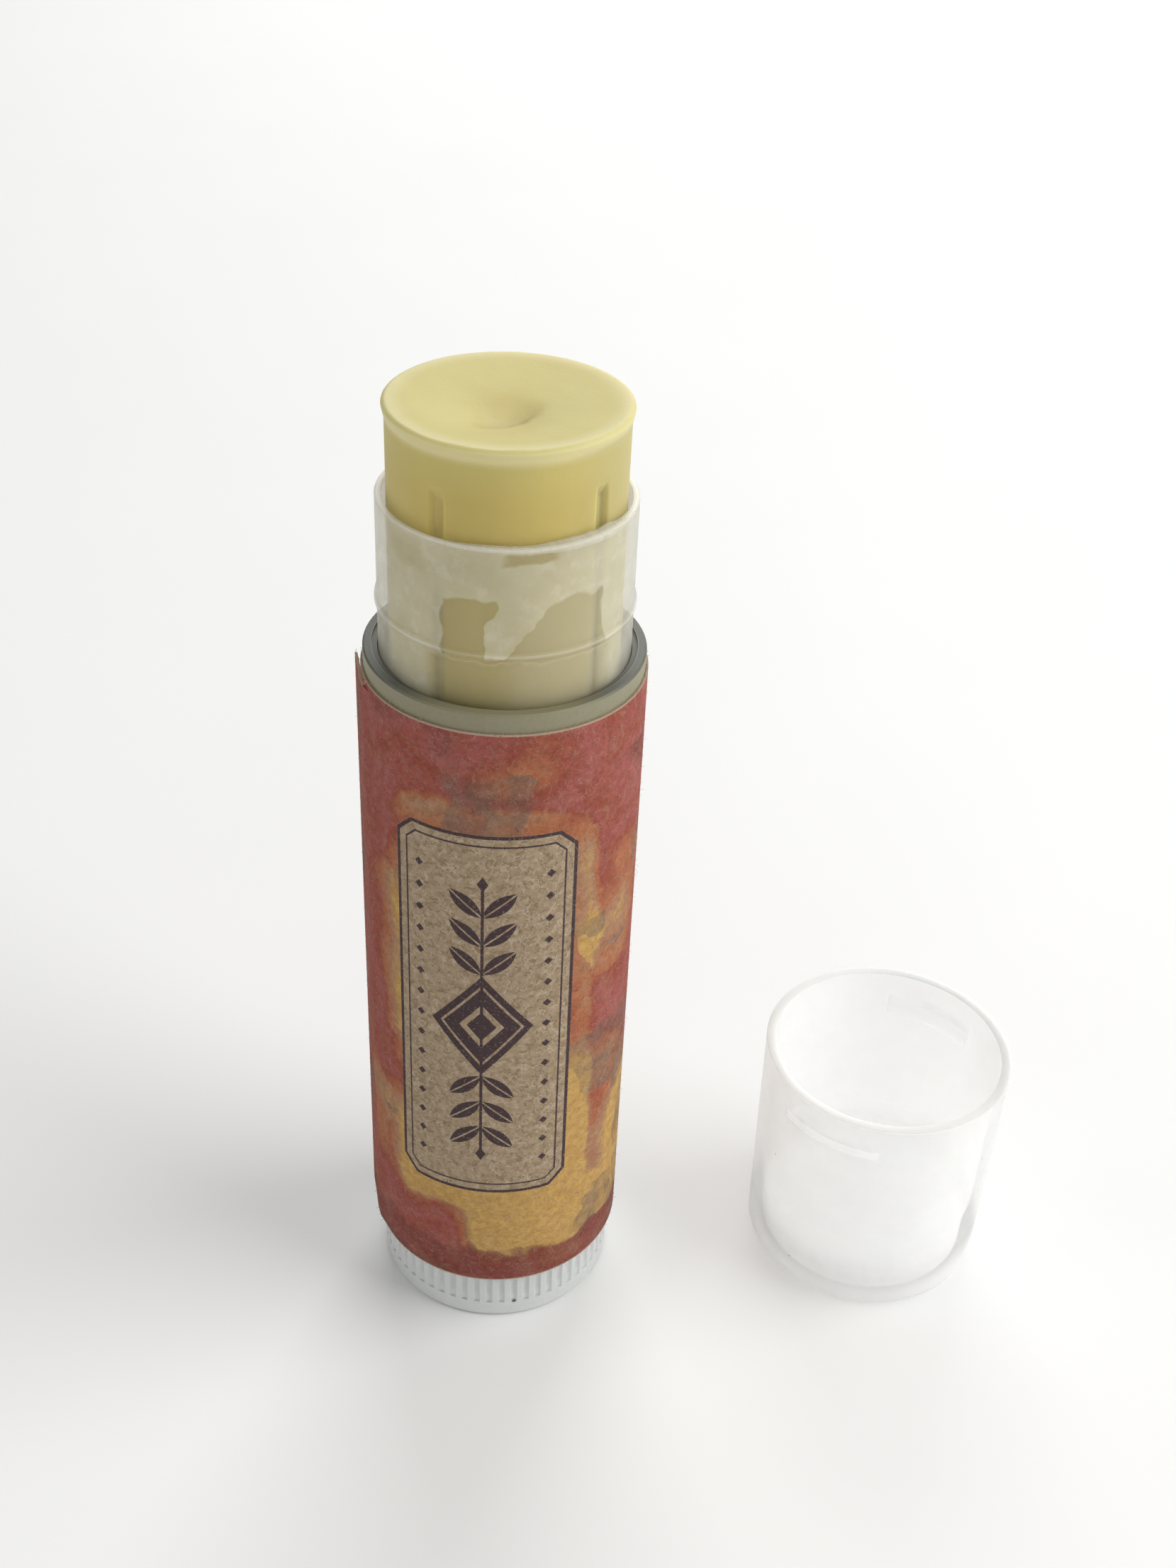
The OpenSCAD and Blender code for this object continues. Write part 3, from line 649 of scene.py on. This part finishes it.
long_dark = fibres(tree, unrolled, 0.9, 0.06, 3.0, 0.52)
short_dark = fibres(tree, unrolled, 0.55, 0.05, 9.0, 0.48)
dark_pulp = either(tree, long_dark, short_dark)
long_pale = fibres(tree, unrolled, 1.1, 0.06, 17.0, 0.54)
short_pale = fibres(tree, unrolled, 0.6, 0.05, 29.0, 0.5)
pale_pulp = either(tree, long_pale, short_pale)
mottle = fade(tree, grain(tree, unrolled, 0.5, 4.0, 0.7), 0.36, 0.66)
specks = fade(tree, grain(tree, unrolled, 0.13, 1.0), 0.66, 0.72)
kraft = tint(tree, mottle, (0.275, 0.202, 0.126, 1), (0.365, 0.278, 0.19, 1))
kraft = tint(tree, both(tree, dark_pulp, 0.6), kraft, (0.15, 0.10, 0.055, 1))
kraft = tint(tree, both(tree, pale_pulp, 0.5), kraft, (0.52, 0.43, 0.32, 1))
kraft = tint(tree, both(tree, specks, 0.5), kraft, (0.16, 0.10, 0.06, 1))
ink = tint(tree, none_of(tree, mottle), ink, (0.80, 0.76, 0.74, 1), "MULTIPLY")
ink = tint(tree, both(tree, dark_pulp, 0.35), ink, (0.62, 0.55, 0.52, 1), "MULTIPLY")
ink = tint(tree, both(tree, pale_pulp, 0.16), ink, (0.48, 0.34, 0.25, 1))
ink = tint(tree, both(tree, specks, 0.4), ink, (0.12, 0.06, 0.05, 1))
LOZENGE = 3.1
past_lozenge = calc(tree, "MULTIPLY_ADD", above, 0.8, aside)
past_lozenge = calc(tree, "SUBTRACT", past_lozenge, LOZENGE)
medal = both(
    tree,
    none_of(tree, fade(tree, past_lozenge, -0.04, 0.04)),
    none_of(tree, within(tree, past_lozenge, -0.75, -0.55, 0.05)),
    none_of(tree, within(tree, past_lozenge, -2.2, -1.75, 0.05)),
)
LEAF_PITCH, LEAF_L, LEAF_HALF_W, LEAF_TURN = 2.1, 2.7, 0.52, math.radians(48)
SPRIG_FROM, LEAF_PAIRS = 4.0, 3


def leaf(tree, side, rise):
    """A pointed leaf with a bare midrib, out from the stem to the side and up."""
    risen = calc(tree, "MULTIPLY", rise, math.cos(LEAF_TURN))
    lengthways = calc(tree, "MULTIPLY_ADD", side, math.sin(LEAF_TURN), risen)
    risen = calc(tree, "MULTIPLY", rise, -math.sin(LEAF_TURN))
    sideways = calc(tree, "ABSOLUTE", calc(tree, "MULTIPLY_ADD", side, math.cos(LEAF_TURN), risen))
    along = calc(tree, "MULTIPLY_ADD", lengthways, 2 / LEAF_L, -1.0)
    half_width = calc(tree, "MULTIPLY", none_of(tree, both(tree, along, along)), LEAF_HALF_W)
    blade = fade(tree, calc(tree, "SUBTRACT", half_width, sideways), -0.03, 0.03)
    return both(tree, blade, fade(tree, sideways, 0.03, 0.07))


def leaf_row(tree, past_start, pitches_back):
    """The leaves of a sprig that start this many pitches below the point. No leaf is cut off."""
    start = calc(tree, "FLOOR", calc(tree, "DIVIDE", past_start, LEAF_PITCH))
    start = calc(tree, "SUBTRACT", start, pitches_back)
    rise = calc(tree, "MULTIPLY_ADD", start, -LEAF_PITCH, past_start)
    return both(tree, leaf(tree, aside, rise), within(tree, start, -0.5, LEAF_PAIRS - 0.5, 0.1))


past_start = calc(tree, "SUBTRACT", above, SPRIG_FROM)
leaves = either(tree, leaf_row(tree, past_start, 0.0), leaf_row(tree, past_start, 1.0))
sprig_top = SPRIG_FROM + LEAF_PITCH * LEAF_PAIRS
below_top = none_of(tree, fade(tree, above, sprig_top - 0.1, sprig_top))
stem = both(tree, none_of(tree, fade(tree, aside, 0.07, 0.12)), below_top)
past_top = apart(tree, above, sprig_top + 0.3)
bud_off = calc(tree, "MULTIPLY_ADD", past_top, 0.6, aside)
sprig = either(tree, leaves, stem, none_of(tree, fade(tree, bud_off, 0.30, 0.36)))
ROW_ASIDE, ROW_PITCH, ROW_END = 3.9, 1.6, 12.0
off_row = apart(tree, aside, ROW_ASIDE)
off_bead = calc(tree, "ADD", off_row, calc(tree, "PINGPONG", above, ROW_PITCH / 2))
beads = both(
    tree,
    none_of(tree, fade(tree, off_bead, 0.24, 0.32)),
    none_of(tree, fade(tree, above, ROW_END - 0.1, ROW_END)),
)
inked = either(tree, border, both(tree, in_panel, either(tree, medal, sprig, beads)))
worn = fade(tree, grain(tree, unrolled, 0.16, 3.0), 0.30, 0.42)
panel_colour = tint(tree, both(tree, inked, between(tree, worn, 0.55, 0.94)), kraft, PLUM)
colour = tint(tree, in_panel, ink, panel_colour)
end_top = none_of(tree, fade(tree, from_seam, 24.0, 27.0))
sheet_top = calc(tree, "MULTIPLY_ADD", end_top, -END_DROP, calc(tree, "SUBTRACT", LABEL_TOP, z))
cut_edge = either(
    tree,
    none_of(tree, fade(tree, calc(tree, "ABSOLUTE", sheet_top), 0.04, 0.12)),
    fade(tree, z, LABEL_TOP - 0.10, LABEL_TOP - 0.04),
    none_of(tree, fade(tree, z, LABEL_LOW + 0.05, LABEL_LOW + 0.12)),
    within(tree, azimuth, SEAM_TURN - 1.5, SEAM_TURN + 1.2, 0.6),
)
colour = tint(tree, both(tree, cut_edge, 0.8), colour, (0.44, 0.36, 0.26, 1))
tree.links.new(colour, shader.inputs["Base Color"])
pulp = calc(tree, "SUBTRACT", pale_pulp, dark_pulp)
relief = calc(tree, "MULTIPLY_ADD", pulp, 0.4, grain(tree, unrolled, 0.25, 4.0, 0.65))
bump(tree, shader, relief, 0.03)
dress(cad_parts["label"], paper)

# Paper fuzz: pulp fibres that stand out of the label's cut and torn edges and of its face.
# They follow the top edge, the bottom edge, the lifted end and rings at even steps up the face.
OVERLAP_DEG, PEEL_DEG, FADE_DEG, PEEL = 25.0, 15.0, 33.3, 0.36
PAPER_R, PAPER = 8.14, 0.12


def paper_radius(from_seam_deg):
    """Outside radius of the label: its end lies over its start and lifts."""
    lift = PEEL * max(0.0, 1 - from_seam_deg / PEEL_DEG) ** 2
    second_layer = PAPER * (1 - min(1, max(0, from_seam_deg - OVERLAP_DEG) / (FADE_DEG - OVERLAP_DEG)))
    return PAPER_R + lift + second_layer


FACE_STEPS, START_TURN = 70, 137.5
face_paths = []
for i in range(1, FACE_STEPS):
    start = START_TURN * i
    height = LABEL_LOW + (LABEL_TOP - END_DROP - LABEL_LOW) * i / FACE_STEPS
    angles = [start + d for d in range(360)]
    face_paths.append([(SEAM_TURN + a, paper_radius(a % 360), height) for a in angles])
edge_paths = []
edge_paths.append([(SEAM_TURN + d, PAPER_R - PAPER / 2, LABEL_TOP) for d in range(361)])
edge_paths.append([(SEAM_TURN + d, paper_radius(d) - PAPER / 2, LABEL_LOW) for d in range(360)])
end_r, end_top = paper_radius(0) - PAPER / 2, LABEL_TOP - END_DROP
edge_paths.append([(SEAM_TURN + d, paper_radius(d) - PAPER / 2, end_top) for d in range(26)])
edge_paths += [
    [(SEAM_TURN + lean, end_r, LABEL_LOW + (end_top - LABEL_LOW) * i / 60) for i in range(61)]
    for lean in (-0.2, 0.15, 0.4)
]
fuzz_tree = bpy.data.node_groups.new("paper_fuzz", "GeometryNodeTree")


def socket(tree, name, kind, in_out="INPUT"):
    """A named socket on a Geometry Nodes tree."""
    return tree.interface.new_socket(name, in_out=in_out, socket_type="NodeSocket" + kind)


def knot(tree, kind, settings, **values):
    """A Geometry Nodes node. Values go to its inputs by name, with _ for a space."""
    node = tree.nodes.new(kind)
    for name, value in settings.items():
        setattr(node, name, value)
    for name, value in values.items():
        feed(tree, node.inputs[name.replace("_", " ")], value)
    return node


socket(fuzz_tree, "Geometry", "Geometry")
fuzz_sockets = {
    name: socket(fuzz_tree, name, kind)
    for name, kind in (
        ("Spacing", "Float"),
        ("Length", "Float"),
        ("Radius", "Float"),
        ("Scatter", "Float"),
        ("Seed", "Int"),
        ("Paper", "Material"),
    )
}
socket(fuzz_tree, "Geometry", "Geometry", "OUTPUT")
given = fuzz_tree.nodes.new("NodeGroupInput").outputs
paths = knot(fuzz_tree, "GeometryNodeMeshToCurve", {}, Mesh=given["Geometry"])
points = knot(
    fuzz_tree,
    "GeometryNodeCurveToPoints",
    {"mode": "LENGTH"},
    Curve=paths.outputs[0],
    Length=given["Spacing"],
)
scaled = {"operation": "SCALE"}
half = knot(
    fuzz_tree, "ShaderNodeVectorMath", scaled, Vector=(0.5, 0.22, 0.0), Scale=given["Length"]
)
tip = knot(
    fuzz_tree, "ShaderNodeVectorMath", scaled, Vector=(0.9, 0.0, 0.2), Scale=given["Length"]
)
bow = knot(
    fuzz_tree,
    "GeometryNodeCurveQuadraticBezier",
    {},
    Resolution=3,
    Start=(0, 0, 0),
    Middle=half.outputs[0],
    End=tip.outputs[0],
)
outline = knot(fuzz_tree, "GeometryNodeCurvePrimitiveCircle", {}, Resolution=3, Radius=given["Radius"])
fibre = knot(
    fuzz_tree, "GeometryNodeCurveToMesh", {}, Curve=bow.outputs[0], Profile_Curve=outline.outputs[0]
)
fibre.inputs["Fill Caps"].default_value = True
any_turn = knot(fuzz_tree, "FunctionNodeRandomValue", {"data_type": "FLOAT_VECTOR"}, Seed=given["Seed"])
any_turn.inputs[0].default_value = (-3.14, -3.14, -3.14)
any_turn.inputs[1].default_value = (3.14, 3.14, 3.14)
any_size = knot(fuzz_tree, "FunctionNodeRandomValue", {"data_type": "FLOAT"}, Seed=given["Seed"])
any_size.inputs[2].default_value = 0.25
any_size.inputs[3].default_value = 1.0
drift = knot(fuzz_tree, "FunctionNodeRandomValue", {"data_type": "FLOAT"}, Seed=given["Seed"])
drift.inputs[2].default_value = -1.0
drift.inputs[3].default_value = 1.0
rise = knot(fuzz_tree, "ShaderNodeMath", {"operation": "MULTIPLY"})
feed(fuzz_tree, rise.inputs[0], drift.outputs[1])
feed(fuzz_tree, rise.inputs[1], given["Scatter"])
upward = knot(fuzz_tree, "ShaderNodeCombineXYZ", {}, Z=rise.outputs[0])
strewn = knot(
    fuzz_tree, "GeometryNodeSetPosition", {}, Geometry=points.outputs["Points"], Offset=upward.outputs[0]
)
spread = knot(
    fuzz_tree,
    "GeometryNodeInstanceOnPoints",
    {},
    Points=strewn.outputs[0],
    Instance=fibre.outputs[0],
    Rotation=any_turn.outputs[0],
    Scale=any_size.outputs[1],
)
real = knot(fuzz_tree, "GeometryNodeRealizeInstances", {}, Geometry=spread.outputs[0])
papered = knot(
    fuzz_tree, "GeometryNodeSetMaterial", {}, Geometry=real.outputs[0], Material=given["Paper"]
)
leaving = fuzz_tree.nodes.new("NodeGroupOutput")
fuzz_tree.links.new(papered.outputs[0], leaving.inputs[0])
fuzz_paper, tree, shader = finish("fuzz_paper", Roughness=0.9, Specular_IOR_Level=0.1)
where = place_in_mm(tree)[0]
tree.links.new(
    tint(tree, grain(tree, where, 0.5), (0.32, 0.24, 0.16, 1), (0.56, 0.48, 0.38, 1)),
    shader.inputs["Base Color"],
)


def grow_fuzz(name, paths, spacing, length, radius, scatter):
    """A piece of fibres along paths of (azimuth, radius, height). It rides the tube."""
    lines = bmesh.new()
    for path in paths:
        corners = []
        for degrees, r, height in path:
            turn = math.radians(degrees)
            place = Vector((r * math.sin(turn), -r * math.cos(turn), height)) * MM
            corners.append(lines.verts.new(place))
        for start, end in zip(corners, corners[1:]):
            lines.edges.new((start, end))
    mesh = bpy.data.meshes.new(name + "_lines")
    lines.to_mesh(mesh)
    lines.free()
    source = bpy.data.objects.new(name + "_lines", mesh)
    bpy.context.scene.collection.objects.link(source)
    grower = source.modifiers.new("fuzz", "NODES")
    grower.node_group = fuzz_tree
    for key, value in (
        ("Spacing", spacing * MM),
        ("Length", length * MM),
        ("Radius", radius * MM),
        ("Scatter", scatter * MM),
        ("Seed", 7),
        ("Paper", fuzz_paper),
    ):
        grower[fuzz_sockets[key].identifier] = value
    grown = source.evaluated_get(bpy.context.evaluated_depsgraph_get())
    mesh = bpy.data.meshes.new_from_object(grown)
    bpy.data.objects.remove(source)
    mesh.name = name
    for vertex in mesh.vertices:
        vertex.co.x = max(vertex.co.x, cad_low.x)
        vertex.co.y = max(vertex.co.y, cad_low.y)
    piece = bpy.data.objects.new(name, mesh)
    bpy.context.scene.collection.objects.link(piece)
    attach(piece, "tube")


grow_fuzz("edge_fuzz", edge_paths, 0.075, 0.34, 0.011, 0.0)
grow_fuzz("face_fuzz", face_paths, 0.6, 0.3, 0.009, 0.3)

# Twist dial: the same silver plastic, moulded with 58 flutes above a smooth foot.
# The flutes hold a little shade, and one dark fleck of dirt sticks to the front.
DIAL_R = 7.68
dial_silver, tree, shader = finish("dial_silver", Metallic=0.15, Roughness=0.4)
where, x, y, z = place_in_mm(tree)
specks = grain(tree, where, 0.3, 4.0)
colour = tint(tree, specks, (0.55, 0.565, 0.555, 1), (0.63, 0.645, 0.635, 1))
radius = off_axis(tree, x, y)
sunk = none_of(tree, fade(tree, radius, DIAL_R - 0.11, DIAL_R - 0.03))
in_flute = both(tree, sunk, fade(tree, z, 1.7, 2.4))
colour = tint(tree, both(tree, in_flute, 0.35), colour, (0.38, 0.39, 0.385, 1))
FLECK_TURN, FLECK_Z = math.radians(9.6), 1.4
fleck_at = (DIAL_R * math.sin(FLECK_TURN), -DIAL_R * math.cos(FLECK_TURN), FLECK_Z)
off_fleck = wire(tree, "VectorMath", where, fleck_at, operation="DISTANCE").outputs["Value"]
off_fleck = calc(tree, "ADD", off_fleck, sway(tree, where, 0.1, 0.03))
colour = tint(tree, none_of(tree, fade(tree, off_fleck, 0.10, 0.17)), colour, (0.12, 0.11, 0.10, 1))
tree.links.new(colour, shader.inputs["Base Color"])
bump(tree, shader, specks, 0.004)
dress(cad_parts["twist_dial"], dial_silver)

# Lead screw and elevator cup: natural white polypropylene, both hidden inside the barrel.
# They came out of the mould as they are, with faint flow marks and wax rubbed on them.
white_plastic, tree, shader = finish("screw_white", Roughness=0.45, Specular_IOR_Level=0.4)
where = place_in_mm(tree)[0]
flow = grain(tree, where, 0.8, 3.0)
colour = tint(tree, flow, (0.70, 0.70, 0.65, 1), (0.80, 0.80, 0.76, 1))
rubbed = both(tree, fade(tree, grain(tree, where, 2.2, 3.0), 0.5, 0.7), 0.5)
tree.links.new(tint(tree, rubbed, colour, (0.62, 0.55, 0.30, 1)), shader.inputs["Base Color"])
bump(tree, shader, flow, 0.01)
dress(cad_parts["lead_screw"], white_plastic)
dress(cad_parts["elevator_cup"], white_plastic)

# Cap: frosted polypropylene, pulled off and stood on its closed end.
# Its wall spreads light more than it stops it, so the near snap lug's lit edge shows through it a
# little higher than it is, drawn as a painted highlight. The cut edge of the rim looks greyer than the
# wall.
CAP_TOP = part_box("cap")[1].z / MM
frosted, tree, shader = finish(
    "cap_frosted",
    Subsurface_Weight=1.0,
    Subsurface_Radius=(1.0, 1.0, 1.0),
    Subsurface_Scale=3.0 * MM,
    Roughness=0.5,
    Specular_IOR_Level=0.3,
)
where, x, y, z = place_in_mm(tree)
haze = grain(tree, where, 3.0, 3.0)
colour = tint(tree, haze, (0.64, 0.64, 0.635, 1), (0.675, 0.675, 0.67, 1))
rim_edge = fade(tree, z, CAP_TOP - 0.12, CAP_TOP - 0.04)
CAP_AT = (26.0, 0.85)
MID_WALL_R, CAP_FLOOR = 7.75, 0.9
LUG_LOW, LUG_TURN, LUG_HALF, LUG_SHIFT = 13.55, -36.0, 24.5, 0.85
from_cap = wire(tree, "VectorMath", where, (-CAP_AT[0], -CAP_AT[1], 0.0), operation="ADD").outputs[0]
flat = wire(tree, "VectorMath", from_cap, (1.0, 1.0, 0.0), operation="MULTIPLY").outputs[0]
radius = wire(tree, "VectorMath", flat, operation="LENGTH").outputs["Value"]
dust = wire(tree, "TexVoronoi", where, None, 0.33).outputs["Distance"]
colour = tint(tree, none_of(tree, fade(tree, dust, 0.02, 0.035)), colour, (0.35, 0.33, 0.30, 1))
split = wire(tree, "SeparateXYZ", flat)
rim_turn = azimuth_in_degrees(tree, split.outputs[0], split.outputs[1])
off_lug = apart(tree, rim_turn, LUG_TURN)
# Painted light: the inner faces are coloured much paler than the outer ones, so the inside looks lit
# through the wall.
inner = none_of(tree, fade(tree, radius, MID_WALL_R - 0.05, MID_WALL_R + 0.05))
inner = both(tree, inner, fade(tree, z, CAP_FLOOR - 0.15, CAP_FLOOR - 0.05))
colour = tint(tree, inner, colour, (0.945, 0.945, 0.94, 1))
# Painted highlight: a pale band where the near lug's lit lower edge shows through the wall.
beside_lug = none_of(tree, fade(tree, off_lug, LUG_HALF - 0.6, LUG_HALF + 0.6))
past_low = calc(tree, "SUBTRACT", z, between(tree, inner, LUG_LOW + LUG_SHIFT, LUG_LOW))
lug_edge_highlight = both(tree, beside_lug, within(tree, past_low, -0.05, 0.6, 0.2))
colour = tint(tree, both(tree, lug_edge_highlight, 0.6), colour, (0.97, 0.97, 0.965, 1))
# Painted shade: the rim's cut edge is darker on the right.
rim_right_shade = within(tree, rim_turn, 40.0, 175.0, 40.0)
rim_grey = tint(tree, rim_right_shade, (0.54, 0.54, 0.52, 1), (0.45, 0.455, 0.44, 1))
colour = tint(tree, rim_edge, colour, rim_grey)
tree.links.new(colour, shader.inputs["Base Color"])
cover = between(tree, haze, 0.50, 0.56)
cover = between(tree, none_of(tree, fade(tree, z, 1.2, 4.2)), cover, 0.96)
cover = between(tree, lug_edge_highlight, cover, 0.8)
cover = between(tree, rim_edge, cover, 0.85)
lit_through = wire(tree, "LightPath").outputs["Is Shadow Ray"]
tree.links.new(between(tree, lit_through, cover, 0.18), shader.inputs["Alpha"])
bump(tree, shader, grain(tree, where, 0.4, 4.0), 0.01)
dress(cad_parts["cap"], frosted)

# Table top: a smooth white surface that runs out of sight, with soft window light on it.
# A large light stands to the right and one behind, with weaker ones to the left and in front.
TABLE_R = 3000.0
mesh = bpy.data.meshes.new("table_top")
sheet = bmesh.new()
bmesh.ops.create_circle(sheet, cap_ends=True, segments=96, radius=TABLE_R * MM)
sheet.to_mesh(mesh)
sheet.free()
table = bpy.data.objects.new("table_top", mesh)
bpy.context.scene.collection.objects.link(table)
white_top, tree, shader = finish("table_white", Roughness=0.7, Specular_IOR_Level=0.1)
where = place_in_mm(tree)[0]
tree.links.new(
    tint(tree, grain(tree, where, 30.0), (0.785, 0.785, 0.775, 1), (0.805, 0.805, 0.80, 1)),
    shader.inputs["Base Color"],
)
dress(table, white_top)


def soft_light(name, place_mm, size_mm, watts, colour):
    """A square area light that faces the stick's middle."""
    data = bpy.data.lights.new(name, "AREA")
    data.size = size_mm * MM
    data.energy = watts
    data.color = colour
    light = bpy.data.objects.new(name, data)
    bpy.context.scene.collection.objects.link(light)
    light.location = Vector(place_mm) * MM
    to_stick = Vector((0.01, 0.0, 0.03)) - light.location
    light.rotation_euler = to_stick.to_track_quat("-Z", "Y").to_euler()


soft_light("window_right", (400, -60, 300), 400, 2.25, (1.0, 0.995, 0.985))
soft_light("window_left", (-420, -40, 220), 360, 0.42, (0.985, 0.995, 1.0))
soft_light("sky_behind", (60, 560, 420), 420, 2.5, (1.0, 1.0, 1.0))
soft_light("room_front", (40, -620, 150), 500, 1.03, (1.0, 1.0, 1.0))

world = bpy.data.worlds.new("room")
world.use_nodes = True
sky = world.node_tree.nodes["Background"]
sky.inputs[0].default_value = (1.0, 1.0, 0.99, 1)
sky.inputs[1].default_value = 0.32
bpy.context.scene.world = world
